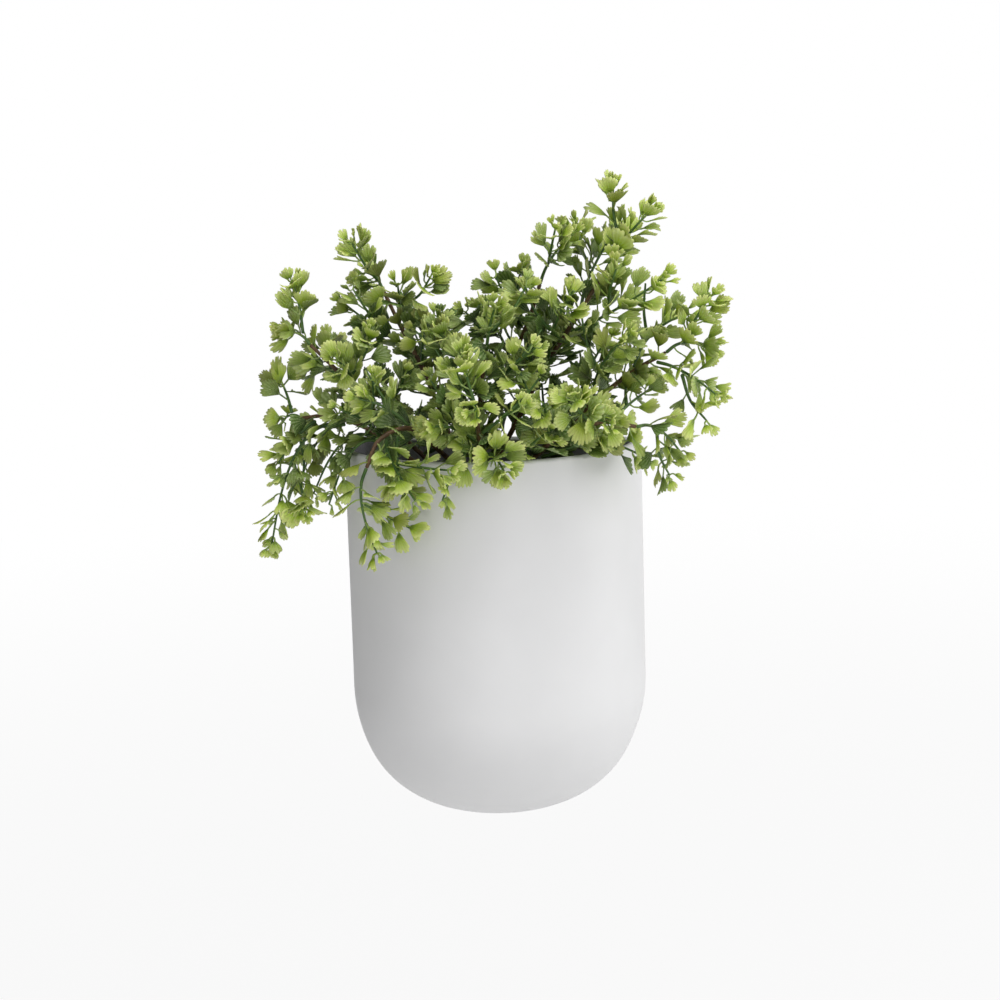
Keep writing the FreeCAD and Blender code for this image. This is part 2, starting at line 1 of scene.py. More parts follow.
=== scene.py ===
# %% [markdown]
# # A ceramic wall planter with an artificial bush
# The planter hangs on one screw. Its pot, screw, wall plug and foam are exact shapes that come with the
# frame, so they only need their finishes. The bush comes with the frame too, but as flat plates on plain
# wires. This lesson grows real leaves and round wires in their place. Every length here is in metres, and
# `mm` turns the sizes of small things into metres.

# %% Load the frame
import math
import random

import bpy
import numpy as np
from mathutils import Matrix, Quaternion, Vector


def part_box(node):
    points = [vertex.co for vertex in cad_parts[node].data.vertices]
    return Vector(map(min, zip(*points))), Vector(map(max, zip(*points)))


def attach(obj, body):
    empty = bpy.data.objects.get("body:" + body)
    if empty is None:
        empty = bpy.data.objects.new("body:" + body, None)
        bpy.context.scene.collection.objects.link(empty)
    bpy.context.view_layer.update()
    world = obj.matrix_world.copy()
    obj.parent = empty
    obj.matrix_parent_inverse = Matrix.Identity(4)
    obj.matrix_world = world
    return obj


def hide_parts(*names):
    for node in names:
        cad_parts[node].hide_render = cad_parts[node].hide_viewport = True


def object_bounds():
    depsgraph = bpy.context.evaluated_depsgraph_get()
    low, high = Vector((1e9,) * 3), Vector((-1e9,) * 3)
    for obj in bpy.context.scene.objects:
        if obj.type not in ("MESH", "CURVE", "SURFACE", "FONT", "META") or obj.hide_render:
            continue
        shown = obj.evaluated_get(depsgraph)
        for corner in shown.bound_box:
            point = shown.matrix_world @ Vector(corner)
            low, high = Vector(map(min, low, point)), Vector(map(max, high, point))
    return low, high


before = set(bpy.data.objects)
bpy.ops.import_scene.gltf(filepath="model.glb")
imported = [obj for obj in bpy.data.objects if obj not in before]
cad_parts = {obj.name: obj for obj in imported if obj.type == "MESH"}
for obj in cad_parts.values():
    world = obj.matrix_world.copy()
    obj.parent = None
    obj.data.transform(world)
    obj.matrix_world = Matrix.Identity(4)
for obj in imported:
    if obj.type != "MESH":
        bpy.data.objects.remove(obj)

mm = 0.001
cad_low, cad_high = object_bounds()
print("frame:", len(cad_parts), "nodes, box", cad_low, cad_high)

# %% [markdown]
# ## Camera
# The photograph looks at the pot from a little right of its middle and from a little above. A camera can be
# placed by eye, but this view was fitted to the pot's edges: the camera stands 0.74 m from its aim, turned
# 13 degrees to the right and 10 degrees up. A place, a point to look at and a small roll say it all, so the
# lens needs no shift.

# %% Camera
camera_place = Vector((0.16609, -0.73507, 0.13040))
camera_aim = Vector((0.00521, -0.02340, -0.00117))
camera_roll = math.radians(-1.693)
camera_lens = 53.12      # millimetres, on a 36 mm sensor

camera = bpy.data.objects.new("camera", bpy.data.cameras.new("camera"))
camera.data.lens = camera_lens
camera.location = camera_place
facing = (camera_aim - camera_place).to_track_quat("-Z", "Y")
camera.rotation_mode = "QUATERNION"
camera.rotation_quaternion = facing @ Quaternion((0, 0, 1), camera_roll)
bpy.context.scene.collection.objects.link(camera)
bpy.context.scene.camera = camera
bpy.context.scene.view_settings.view_transform = "Standard"
print("camera stands", round((camera_aim - camera_place).length, 3), "m from its aim")

# %% [markdown]
# ## Writing materials as sums
# A material in Blender is a graph of nodes. It can be wired by hand, but a long graph is easier to read as
# a sum, so `Value` wraps a socket and lets `+`, `-`, `*` and `/` add Math nodes.

# %% Sums on sockets
class Value:
    """A socket that carries a number, a vector or a colour, with arithmetic for numbers."""

    def __init__(self, finish, socket):
        self.finish = finish
        self.socket = socket

    def math(self, operation, first, second):
        return self.finish.node("ShaderNodeMath", {"operation": operation}, {0: first, 1: second})

    def __add__(self, other):
        return self.math("ADD", self, other)

    def __radd__(self, other):
        return self.math("ADD", other, self)

    def __sub__(self, other):
        return self.math("SUBTRACT", self, other)

    def __rsub__(self, other):
        return self.math("SUBTRACT", other, self)

    def __mul__(self, other):
        return self.math("MULTIPLY", self, other)

    def __rmul__(self, other):
        return self.math("MULTIPLY", other, self)

    def __truediv__(self, other):
        return self.math("DIVIDE", self, other)

    def __rtruediv__(self, other):
        return self.math("DIVIDE", other, self)


print("Value knows + - * and /")

# %% [markdown]
# ## One method for every other node
# `Finish.node` takes a node's type, its settings and what goes into its sockets. Colours never pass through
# a Math node, because that would turn them grey: `Finish.blend` mixes them instead.

# %% Finishes as graphs
class Finish:
    """A material, or the world, under construction."""

    def __init__(self, owner):
        owner.use_nodes = True
        self.tree = owner.node_tree
        self.tree.nodes.clear()
        self.owner = owner

    def node(self, kind, settings=None, inputs=None, output=0):
        made = self.tree.nodes.new(kind)
        for name, setting in (settings or {}).items():
            if name == "stops":
                ramp = made.color_ramp
                while len(ramp.elements) < len(setting):
                    ramp.elements.new(0.5)
                for element, (place, colour) in zip(ramp.elements, setting):
                    element.position = place
                    element.color = colour
            else:
                setattr(made, name, setting)
        for name, value in (inputs or {}).items():
            if isinstance(value, Value):
                self.tree.links.new(value.socket, made.inputs[name])
            else:
                made.inputs[name].default_value = value
        return Value(self, made.outputs[output]) if made.outputs else None

    def blend(self, factor, first, second):
        colours = {"data_type": "RGBA"}
        return self.node("ShaderNodeMix", colours, {0: factor, 6: first, 7: second}, 2)

    def ramp(self, value, *stops):
        return self.node("ShaderNodeValToRGB", {"stops": stops}, {0: value}, "Color")

    def noise(self, where, scale, detail=3.0, roughness=0.5):
        inputs = {"Vector": where, "Scale": scale, "Detail": detail, "Roughness": roughness}
        return self.node("ShaderNodeTexNoise", None, inputs, 0)

    def attribute(self, name):
        return self.node("ShaderNodeAttribute", {"attribute_name": name}, None, "Fac")

    def bump(self, height, strength, distance):
        inputs = {"Height": height, "Strength": strength, "Distance": distance}
        return self.node("ShaderNodeBump", None, inputs)

    def surface(self, **sockets):
        """Ends a material with one Principled shader. Underscores in the names stand for spaces."""
        inputs = {name.replace("_", " "): value for name, value in sockets.items()}
        shader = self.node("ShaderNodeBsdfPrincipled", None, inputs)
        self.node("ShaderNodeOutputMaterial", None, {"Surface": shader})
        return self.owner


def new_finish(name):
    return Finish(bpy.data.materials.new(name))


def grey(level):
    return (level, level, level, 1.0)


print("node helpers are ready")

# %% [markdown]
# ## The light of the room
# A white room lights a matte white pot softly, more from the right than from the left. The shading on the
# photographed pot falls off almost evenly from right to left. A big lamp could give that, and so does a sky
# whose brightness grows evenly with X, so the world is painted that way. It is also darker behind the pot,
# where a wall would be, and that gives the bush its depth. The camera sees the world as plain white.

# %% The sky
sky_middle = 0.46          # brightness of the surroundings overhead
sky_slope = 0.56           # how much brighter they are at the right, and darker at the left
sky_front = 0.34           # how much brighter they are in front, and darker behind

sky = Finish(bpy.data.worlds.new("studio"))
bpy.context.scene.world = sky.owner
ray = sky.node("ShaderNodeLightPath", None, None, "Is Camera Ray")
clear_ray = Value(sky, ray.socket.node.outputs["Is Transmission Ray"])
direction = sky.node("ShaderNodeTexCoord", None, None, "Generated")
rightwards = sky.node("ShaderNodeSeparateXYZ", None, {0: direction}, "X")
backwards = sky.node("ShaderNodeSeparateXYZ", None, {0: direction}, "Y")
brightness = sky_middle + sky_slope * rightwards - sky_front * backwards
room = sky.node("ShaderNodeBackground", None, {"Color": grey(1.0), "Strength": brightness})
white = sky.node("ShaderNodeBackground", None, {"Color": grey(1.0), "Strength": 1.0})
seen = sky.node("ShaderNodeMath", {"operation": "MAXIMUM"}, {0: ray, 1: clear_ray})
mixed = sky.node("ShaderNodeMixShader", None, {0: seen, 1: room, 2: white})
sky.node("ShaderNodeOutputWorld", None, {"Surface": mixed})
print("sky:", len(sky.tree.nodes), "nodes")

# %% [markdown]
# ## Three soft lamps
# A sky lights a leaf from all sides at once. Square lamps add direction and keep the shadows soft: one
# above and in front for the leaves' upper sides, one at the right and behind for their edges, and a weak
# one low in front for the pot's rounded bottom.

# %% Lamps
def soft_lamp(name, place, aim, side, power):
    lamp = bpy.data.objects.new(name, bpy.data.lights.new(name, "AREA"))
    lamp.data.shape = "SQUARE"
    lamp.data.size = side
    lamp.data.energy = power
    lamp.location = place
    lamp.visible_camera = False
    lamp.rotation_euler = (Vector(aim) - Vector(place)).to_track_quat("-Z", "Y").to_euler()
    bpy.context.scene.collection.objects.link(lamp)


soft_lamp("lamp_above", place=(0.28, -0.36, 0.95), aim=(0, -0.05, 0.05), side=0.35, power=3.2)
soft_lamp("lamp_right_back", place=(0.90, 0.35, 0.05), aim=(0, -0.05, -0.05), side=0.40, power=1.9)
soft_lamp("lamp_below", place=(0.15, -0.66, -0.34), aim=(0, -0.05, -0.10), side=0.16, power=0.5)
print("lamps:", len(bpy.data.lights))

# %% [markdown]
# ## The floor
# A plain floor stands below the pot. Its material mixes matte paper, which keeps a soft shadow, with a glow
# that only the camera and reflections see, so the floor looks white without putting more light on the
# planter. The glow's share grows with the distance, and the floor runs into the white world without an
# edge.

# %% Floor
floor_drop = 0.30          # from the planter's lowest point to the floor
floor_side = 12.0
floor_white = 0.88         # share of the glow in the floor near the pot
floor_near = 0.35          # from here on the share grows,
floor_far = 2.5            # and here the floor is all glow
paper_grey = 0.85

floor = bpy.data.objects.new("floor", bpy.data.meshes.new("floor"))
half = floor_side / 2
floor_z = cad_low.z - floor_drop
corners = [(-half, -half, floor_z), (half, -half, floor_z), (half, half, floor_z), (-half, half, floor_z)]
floor.data.from_pydata(corners, [], [(0, 1, 2, 3)])
bpy.context.scene.collection.objects.link(floor)

paper = new_finish("floor_paper")
ray = paper.node("ShaderNodeLightPath", None, None, "Is Camera Ray")
glossy_ray = Value(paper, ray.socket.node.outputs["Is Glossy Ray"])
seen = paper.node("ShaderNodeMath", {"operation": "MAXIMUM"}, {0: ray, 1: glossy_ray})
matte = paper.node("ShaderNodeBsdfDiffuse", None, {"Color": grey(paper_grey)})
glow = paper.node("ShaderNodeEmission", None, {"Color": grey(1.0), "Strength": 1.0})
where = paper.node("ShaderNodeTexCoord", None, None, "Object")
far = paper.node("ShaderNodeVectorMath", {"operation": "LENGTH"}, {0: where}, "Value")
spread = {"Value": far, "From Min": floor_near, "From Max": floor_far, "To Min": floor_white, "To Max": 1.0}
far = paper.node("ShaderNodeMapRange", {"interpolation_type": "SMOOTHSTEP"}, spread)
both = paper.node("ShaderNodeMixShader", None, {0: seen * far, 1: matte, 2: glow})
paper.node("ShaderNodeOutputMaterial", None, {"Surface": both})
floor.data.materials.append(paper.owner)
print("floor at z =", round(floor_z, 3))

# %% [markdown]
# ## Ceramic
# The pot is matt-glazed: white, a little rough, with a faint unevenness that only shows in the light. Its
# inside under the rim is painted dark grey, as painted shade for the shadow that the bush casts into the
# pot. A painted image would need the pot unwrapped. Noise and steps in the pot's own coordinates need none,
# so they tell the glaze from the painted shade.

# %% Glaze and painted inside shade
pot_low, pot_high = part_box("pot_shell")
pot_radius = pot_high.x
pot_centre_y = pot_low.y + pot_radius
pot_wall = 4 * mm
_, foam_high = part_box("foam_block")
glaze_ends = 0.7 * pot_wall    # how deep under the pot's outer faces the painted inside shade begins
glaze_fades = 0.1 * pot_wall
inside_shade_below_foam = 8 * mm       # the painted inside shade begins this far below the foam's top
inside_shade_fades = 4 * mm
rim_height = 2.0 * mm          # the glaze colour comes over the rim and ends this far below it, where the painted inside shade begins
rim_fades = 0.8 * mm


def step_up(f, value, start, width):
    """0 below a start and 1 from one width above it."""
    reach = {"Value": value, "From Min": start, "From Max": start + width}
    return f.node("ShaderNodeMapRange", None, reach)


def axes_of(f, where):
    split = f.node("ShaderNodeSeparateXYZ", None, {0: where}, "X")
    return [Value(f, split.socket.node.outputs[name]) for name in "XYZ"]


def ceramic():
    f = new_finish("matt_glaze")
    where = f.node("ShaderNodeTexCoord", None, None, "Object")
    x, y, z = axes_of(f, where)
    forward = f.node("ShaderNodeMath", {"operation": "MINIMUM"}, {0: y - pot_centre_y, 1: 0.0})
    from_axis = f.node("ShaderNodeMath", {"operation": "SQRT"}, {0: x * x + forward * forward})
    within = 1 - step_up(f, from_axis, pot_radius - glaze_ends, glaze_fades)
    within = within * (1 - step_up(f, y, -glaze_ends, glaze_fades))
    above_foam = step_up(f, z, foam_high.z - inside_shade_below_foam, inside_shade_fades)
    in_rim = step_up(f, z, pot_high.z - rim_height, rim_fades)
    # The inside under the rim gets a dark grey: painted shade, with a rougher, grainier surface.
    inside_shade = within * above_foam * (1 - in_rim)
    cloud = f.noise(where, 18.0, 3.0)
    grain = f.noise(where, 900.0, 2.0)
    glaze = f.ramp(cloud, (0.3, (0.80, 0.80, 0.805, 1)), (0.7, (0.845, 0.845, 0.85, 1)))
    inside_shade_grey = f.ramp(grain, (0.3, (0.20, 0.20, 0.215, 1)), (0.7, (0.27, 0.27, 0.285, 1)))
    height = cloud * 0.6 + grain * (0.08 + 0.5 * inside_shade)
    return f.surface(Base_Color=f.blend(inside_shade, glaze, inside_shade_grey), Roughness=0.42 + 0.12 * cloud + 0.3 * inside_shade,
                     Normal=f.bump(height, 0.25, 0.4 * mm))


def paint(node, material):
    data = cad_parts[node].data
    data.materials.clear()
    data.materials.append(material)


paint("pot_shell", ceramic())
# Below the rim the inside is painted dark grey, as painted shade.
print("painted the pot, glazed over the rim and", round(rim_height / mm, 1), "mm down its inside")

# %% [markdown]
# ## Foam, steel and nylon
# The foam is dry floral foam, full of tiny open cells, which is what Voronoi distances look like. The screw
# is zinc-plated and the plug is ribbed grey nylon. Thread and ribs could be cut as geometry, but both sit
# in the wall when the planter hangs, so a bump in the finish is enough.

# %% Finishes of foam, screw and plug
thread_pitch = 1.6 * mm
thread_run_in = 1 * mm         # over which the thread rises from the plain shank
rib_pitch = 2.4 * mm
ribs_from = 2 * mm             # the plug's mouth is smooth up to here
rib_run_in = 1 * mm


def foam():
    f = new_finish("floral_foam")
    where = f.node("ShaderNodeTexCoord", None, None, "Object")
    cells = f.node("ShaderNodeTexVoronoi", None, {"Vector": where, "Scale": 900.0}, "Distance")
    patches = f.noise(where, 60.0, 4.0)
    colour = f.ramp(patches, (0.3, (0.018, 0.030, 0.014, 1)), (0.75, (0.055, 0.085, 0.035, 1)))
    height = cells * 0.5 + patches * 0.8
    return f.surface(Base_Color=colour, Roughness=0.95, Normal=f.bump(height, 0.9, 1.2 * mm))


def zinc():
    f = new_finish("zinc_plated_steel")
    where = f.node("ShaderNodeTexCoord", None, None, "Object")
    x, y, z = axes_of(f, where)
    around = f.node("ShaderNodeMath", {"operation": "ARCTAN2"}, {0: z, 1: x}) / (2 * math.pi)
    helix = f.node("ShaderNodeMath", {"operation": "PINGPONG"}, {0: y / thread_pitch + around, 1: 0.5})
    thread = helix * step_up(f, y, 0.0, thread_run_in)
    tarnish = f.noise(where, 260.0, 4.0)
    colour = f.ramp(tarnish, (0.35, (0.50, 0.51, 0.52, 1)), (0.7, (0.74, 0.75, 0.76, 1)))
    normal = f.bump(thread * 6 + tarnish * 0.2, 0.8, 0.25 * mm)
    return f.surface(Base_Color=colour, Metallic=1.0, Roughness=0.28 + 0.2 * tarnish, Normal=normal)


def nylon():
    f = new_finish("grey_nylon")
    where = f.node("ShaderNodeTexCoord", None, None, "Object")
    y = axes_of(f, where)[1]
    ribs = f.node("ShaderNodeMath", {"operation": "FRACT"}, {0: y / rib_pitch})
    flow = f.noise(where, 120.0, 2.0)
    colour = f.ramp(flow, (0.3, (0.36, 0.37, 0.38, 1)), (0.7, (0.44, 0.45, 0.46, 1)))
    normal = f.bump(ribs * step_up(f, y, ribs_from, rib_run_in) + flow * 0.2, 0.7, 0.4 * mm)
    return f.surface(Base_Color=colour, Roughness=0.45 + 0.1 * flow, Normal=normal)


paint("foam_block", foam())
paint("wall_screw", zinc())
paint("wall_plug", nylon())
print("painted the foam, the screw and the plug")

# %% [markdown]
# ## The leaves' plastic
# The leaves are moulded from soft plastic. Young ones are yellow-green and lighter towards the edge, old
# ones are deep green, and a few have turned olive brown. Leaves deep in the bush are painted darker, as
# painted shade, the valleys of the pleats get painted shade, and the ridges and small flecks get a pale
# painted highlight. Each leaf could have a material of its own, but all of them share one here. Four
# numbers stored on every corner of a leaf tell the finish where it is: `reach` runs from the foot to the
# edge, `pleat` counts the teeth from one side to the other, and `tone` and a number for age and painted
# shade are one number each for the whole leaf.

# %% Leaf plastic
olive_from = 0.84                                # leaves with a tone above this have turned,
olive_most = 0.6                                 # up to this share
olive_brown = (0.190, 0.180, 0.030, 1)
# painted shade in the valleys of the pleats
valley_shade_green = (0.030, 0.100, 0.012, 1)
# painted highlight on the ridges and on small flecks
ridge_highlight_green = (0.62, 0.74, 0.36, 1)


def leaf_plastic():
    f = new_finish("leaf_plastic")
    reach = f.attribute("reach")
    age = f.attribute("age")
    tone = f.attribute("tone")
    turn = f.attribute("pleat") * (2 * math.pi)
    where = f.node("ShaderNodeTexCoord", None, None, "Object")
    mottle = f.noise(where, 520.0, 3.0)
    glint_fleck = step_up(f, f.noise(where, 1100.0, 2.0), 0.52, 0.12)
    cloud = f.noise(where, 110.0, 2.0)
    young_and_lit = f.ramp(reach, (0.0, (0.120, 0.230, 0.015, 1)), (0.45, (0.470, 0.640, 0.036, 1)),
                   (1.0, (0.840, 0.910, 0.300, 1)))
    old_and_shaded = f.ramp(reach, (0.0, (0.013, 0.034, 0.006, 1)), (0.5, (0.037, 0.094, 0.011, 1)),
                 (1.0, (0.095, 0.185, 0.018, 1)))
    # Leaves deep in the bush get the dark green as painted shade; young leaves at the tips get the light
    # green.
    lit = f.node("ShaderNodeMapRange", {"interpolation_type": "SMOOTHSTEP"}, {"Value": age})
    green = f.blend(lit, old_and_shaded, young_and_lit)
    turned = {"Value": tone, "From Min": olive_from, "From Max": 1.0, "To Max": olive_most}
    green = f.blend(f.node("ShaderNodeMapRange", None, turned), green, olive_brown)
    valley = f.node("ShaderNodeMath", {"operation": "COSINE"}, {0: turn}) * 0.5 + 0.5
    fine = f.node("ShaderNodeMath", {"operation": "COSINE"}, {0: turn * 3.0}) * 0.5 + 0.5
    # The valleys of the pleats are darkened: painted shade.
    green = f.blend(valley * reach * mottle * 0.35, green, valley_shade_green)
    # Pale ridges and small flecks are painted highlight, fading with the tone.
    painted_highlight = (1 - valley) * cloud * mottle * (1.3 - tone) + glint_fleck * cloud * (1 - tone) * 0.5
    colour = f.blend(painted_highlight, green, ridge_highlight_green)
    normal = f.bump((1 - valley) * 0.4 + fine * 0.2 + mottle * 0.8, 0.6, 0.4 * mm)
    return f.surface(Base_Color=colour, Roughness=0.30 + 0.26 * mottle, Normal=normal,
                     Specular_IOR_Level=0.42, Subsurface_Weight=0.12,
                     Subsurface_Radius=(0.5, 0.8, 0.2), Subsurface_Scale=1.0 * mm)


leaf_finish = leaf_plastic()
print("leaf plastic:", len(leaf_finish.node_tree.nodes), "nodes")

# %% [markdown]
# ## Green stems and brown bark
# The sprays' stems are green plastic, and the branches are wires in brown plastic that is streaked like
# bark. Both are one noise each, which colours the surface and also raises it.

# %% Stems and bark
def green_stem():
    f = new_finish("green_stem")
    where = f.node("ShaderNodeTexCoord", None, None, "Object")
    streak = f.noise(where, 240.0, 3.0)
    colour = f.ramp(streak, (0.3, (0.030, 0.085, 0.018, 1)), (0.7, (0.105, 0.200, 0.040, 1)))
    return f.surface(Base_Color=colour, Roughness=0.45, Normal=f.bump(streak, 0.4, 0.2 * mm))


def bark():
    f = new_finish("brown_bark")
    where = f.node("ShaderNodeTexCoord", None, None, "Object")
    streak = f.noise(where, 300.0, 5.0, 0.65)
    colour = f.ramp(streak, (0.25, (0.040, 0.022, 0.010, 1)), (0.5, (0.125, 0.070, 0.030, 1)),
                    (0.78, (0.260, 0.165, 0.070, 1)))
    return f.surface(Base_Color=colour, Roughness=0.62, Normal=f.bump(streak, 0.8, 0.4 * mm))


stem_finish = green_stem()
bark_finish = bark()
print("finishes:", len(bpy.data.materials))

# %% [markdown]
# ## Reading the plain bush
# Each spray of the frame is a mesh with separate islands: a few six-sided wires and some thin plates. The
# new leaves could stand anywhere, but they should stand where the frame's do, so the meshes are read first.
# Equal corners are welded, and then neighbours are followed to find the islands.

# %% Islands of a mesh
weld_distance = 0.002 * mm


def welded(node):
    """The corners of a node, each once, and its edges as pairs of corners."""
    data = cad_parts[node].data
    found = {}
    number = []
    places = []
    for vertex in data.vertices:
        key = tuple(round(c / weld_distance) for c in vertex.co)
        if key not in found:
            found[key] = len(places)
            places.append(vertex.co.copy())
        number.append(found[key])
    edges = {tuple(sorted((number[a], number[b]))) for a, b in (e.vertices for e in data.edges)}
    return places, sorted(e for e in edges if e[0] != e[1])


def groups(count, edges):
    """Numbers 0 to count - 1 in the groups that the edges join."""
    leader = list(range(count))

    def find(i):
        while leader[i] != i:
            leader[i] = leader[leader[i]]
            i = leader[i]
        return i

    for a, b in edges:
        leader[find(a)] = find(b)
    made = {}
    for i in range(count):
        made.setdefault(find(i), []).append(i)
    return list(made.values())


print("corners of the bound stem, welded:", len(welded("bush_stem")[0]))

# %% [markdown]
# ## Routes and plates
# A wire's rings are the groups of its corners that short edges join, and the middles of the rings are the
# wire's route. A plate has two outlines of six corners, and its shortest edge is the leaf's foot.

# %% Routes and plates
plate_corners = 12
branch_ring_edge = 3.5 * mm  # edges shorter than this go round a wire, longer ones run along it
spray_ring_edge = 2.2 * mm


def route_of(places, edges, members, ring_edge):
    """The middles of a wire's rings, from one end to the other."""
    own = set(members)
    inside = [e for e in edges if e[0] in own and e[1] in own]
    short = [e for e in inside if (places[e[0]] - places[e[1]]).length < ring_edge]
    rings = [g for g in groups(len(places), short) if g[0] in own]
    ring_of = {i: n for n, ring in enumerate(rings) for i in ring}
    middles = [sum((places[i] for i in ring), Vector()) / len(ring) for ring in rings]
    near = {n: set() for n in range(len(rings))}
    for a, b in inside:
        if ring_of[a] != ring_of[b]:
            near[ring_of[a]].add(ring_of[b])
            near[ring_of[b]].add(ring_of[a])
    end = min((n for n in near if len(near[n]) == 1), default=0)
    order = [end]
    while True:
        onward = [n for n in near[order[-1]] if n not in order]
        if not onward:
            break
        order.append(onward[0])
    return [middles[n] for n in order]


def plate_of(places, members):
    """A leaf plate's foot, its way from foot to end and the direction across it, from its corners."""
    points = np.array([places[i] for i in members])
    middle = points.mean(0)
    _, _, axes = np.linalg.svd(points - middle)
    across_plate = axes[2]
    height = (points - middle) @ across_plate
    outline = points[height > 0] - np.outer(height[height > 0], across_plate)
    around = np.arctan2((outline - middle) @ axes[1], (outline - middle) @ axes[0])
    outline = outline[np.argsort(around)]
    lengths = np.linalg.norm(outline - np.roll(outline, -1, 0), axis=1)
    first = int(np.argmin(lengths))
    foot = (outline[first] + outline[(first + 1) % 6]) / 2
    end = (outline[(first + 3) % 6] + outline[(first + 4) % 6]) / 2
    return Vector(foot), Vector(end - foot), Vector(across_plate)


def read_bush(node):
    """The routes of a node's wires and the places of its leaf plates."""
    places, edges = welded(node)
    islands = groups(len(places), edges)
    wires = [island for island in islands if len(island) != plate_corners]
    ring_edge = branch_ring_edge if node.startswith("branch_") else spray_ring_edge
    routes = [route_of(places, edges, wire, ring_edge) for wire in wires]
    plates = [plate_of(places, island) for island in islands if len(island) == plate_corners]
    return routes, plates


spray_nodes = sorted(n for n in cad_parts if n.startswith("spray_"))
branch_nodes = sorted(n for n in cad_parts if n.startswith("branch_"))
sprays = {node: read_bush(node) for node in spray_nodes}
branch_routes = {node: read_bush(node)[0][0] for node in branch_nodes}
print("sprays:", len(sprays), "leaves:", sum(len(plates) for _, plates in sprays.values()))
print("points per route:", sorted({len(route) for routes, _ in sprays.values() for route in routes}))

# %% [markdown]
# ## A mesh that grows
# All leaves of one spray share one mesh, because hundreds of objects would be slow and hard to follow.
# `Growth` collects corners, faces and the four numbers of the finish and makes the object at the end.

# %% Growing meshes
class Growth:
    """Corners, faces, finish numbers and material numbers of one piece."""

    def __init__(self):
        self.corners, self.faces, self.slots = [], [], []
        self.numbers = {"reach": [], "pleat": [], "age": [], "tone": []}
        self.count = 0

    def add(self, corners, faces, slot, reach=0.0, pleat=0.0, age=0.0, tone=0.5):
        corners = np.asarray(corners, float).reshape(-1, 3)
        self.corners.append(corners)
        self.faces += [tuple(self.count + i for i in face) for face in faces]
        self.slots += [slot] * len(faces)
        for name, value in (("reach", reach), ("pleat", pleat), ("age", age), ("tone", tone)):
            self.numbers[name].append(np.broadcast_to(np.asarray(value, float).ravel(), (len(corners),)))
        self.count += len(corners)

    def piece(self, name, body, materials, replaced):
        data = bpy.data.meshes.new(name)
        data.from_pydata(np.concatenate(self.corners).tolist(), [], self.faces)
        for number_name, parts in self.numbers.items():
            layer = data.attributes.new(number_name, "FLOAT", "POINT")
            layer.data.foreach_set("value", np.concatenate(parts).astype(np.float32))
        for material in materials:
            data.materials.append(material)
        data.polygons.foreach_set("material_index", self.slots)
        data.polygons.foreach_set("use_smooth", [True] * len(self.faces))
        data.update()
        made = bpy.data.objects.new(name, data)
        bpy.context.scene.collection.objects.link(made)
        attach(made, body)
        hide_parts(*replaced)
        return made


print("a piece can grow")

# %% [markdown]
# ## Tubes
# A wire is a tube round a smooth line. A Blender curve with a bevel would do, but its mesh is only made
# later, and here the line itself is needed too, to place leaves on it. A Catmull-Rom curve passes through
# the route's points, and the ring's axes are carried along it without twist.

# %% Tubes
dome_share = 0.6            # height of a tube's domed end, as a share of its radius


def smooth_line(points, per_run):
    """Points on the Catmull-Rom curve through the given points."""
    p = [2 * points[0] - points[1]] + list(points) + [2 * points[-1] - points[-2]]
    line = []
    for a, b, c, d in zip(p, p[1:], p[2:], p[3:]):
        for i in range(per_run):
            t = i / per_run
            line.append(0.5 * (2 * b + (c - a) * t + (2 * a - 5 * b + 4 * c - d) * t ** 2
                               + (3 * b - a - 3 * c + d) * t ** 3))
    return line + [points[-1].copy()]


def rings_along(line, radii, sides):
    """The corners of the rings of a tube, carried along a line without twist."""
    run = (line[1] - line[0]).normalized()
    across = run.orthogonal().normalized()
    rings = []
    for i, point in enumerate(line):
        ahead = line[min(i + 1, len(line) - 1)] - line[max(i - 1, 0)]
        turn = run.rotation_difference(ahead.normalized())
        run = ahead.normalized()
        across = (turn @ across).normalized()
        other = run.cross(across)
        angles = [2 * math.pi * k / sides for k in range(sides)]
        rings.append([point + (across * math.cos(a) + other * math.sin(a)) * radii[i] for a in angles])
    return rings


def tube(growth, line, radii, sides, slot, **numbers):
    """Adds a closed tube with slightly domed ends."""
    rings = rings_along(line, radii, sides)
    corners = [c for ring in rings for c in ring]
    faces = []
    for i in range(len(rings) - 1):
        for k in range(sides):
            a, b = i * sides + k, i * sides + (k + 1) % sides
            faces.append((a, b, b + sides, a + sides))
    for ring_start, inward, end in ((0, 1, line[0]), (len(corners) - sides, -1, line[-1])):
        away = (line[0] - line[1]) if inward == 1 else (line[-1] - line[-2])
        corners.append(end + away.normalized() * radii[0 if inward == 1 else -1] * dome_share)
        tip = len(corners) - 1
        for k in range(sides):
            a, b = ring_start + k, ring_start + (k + 1) % sides
            faces.append((b, a, tip) if inward == 1 else (a, b, tip))
    growth.add(corners, faces, slot, **numbers)


print("a straight line of two points, smoothed in 4 steps, has",
      len(smooth_line([Vector((0, 0, 0)), Vector((0, 0, 1))], 4)), "points")

# %% [markdown]
# ## The blade of a leaf
# A leaf is a fan: it starts as a narrow stalk, opens to both sides and ends in a few round lobes with small
# teeth. One leaf could be modelled by hand and copied, but then all would be alike. Here a blade is a grid
# of rows from foot to edge and columns across the fan, three to each tooth, and each gets its own angle,
# ruffle and bends. The columns in a notch lie a little lower, which makes the pleats.

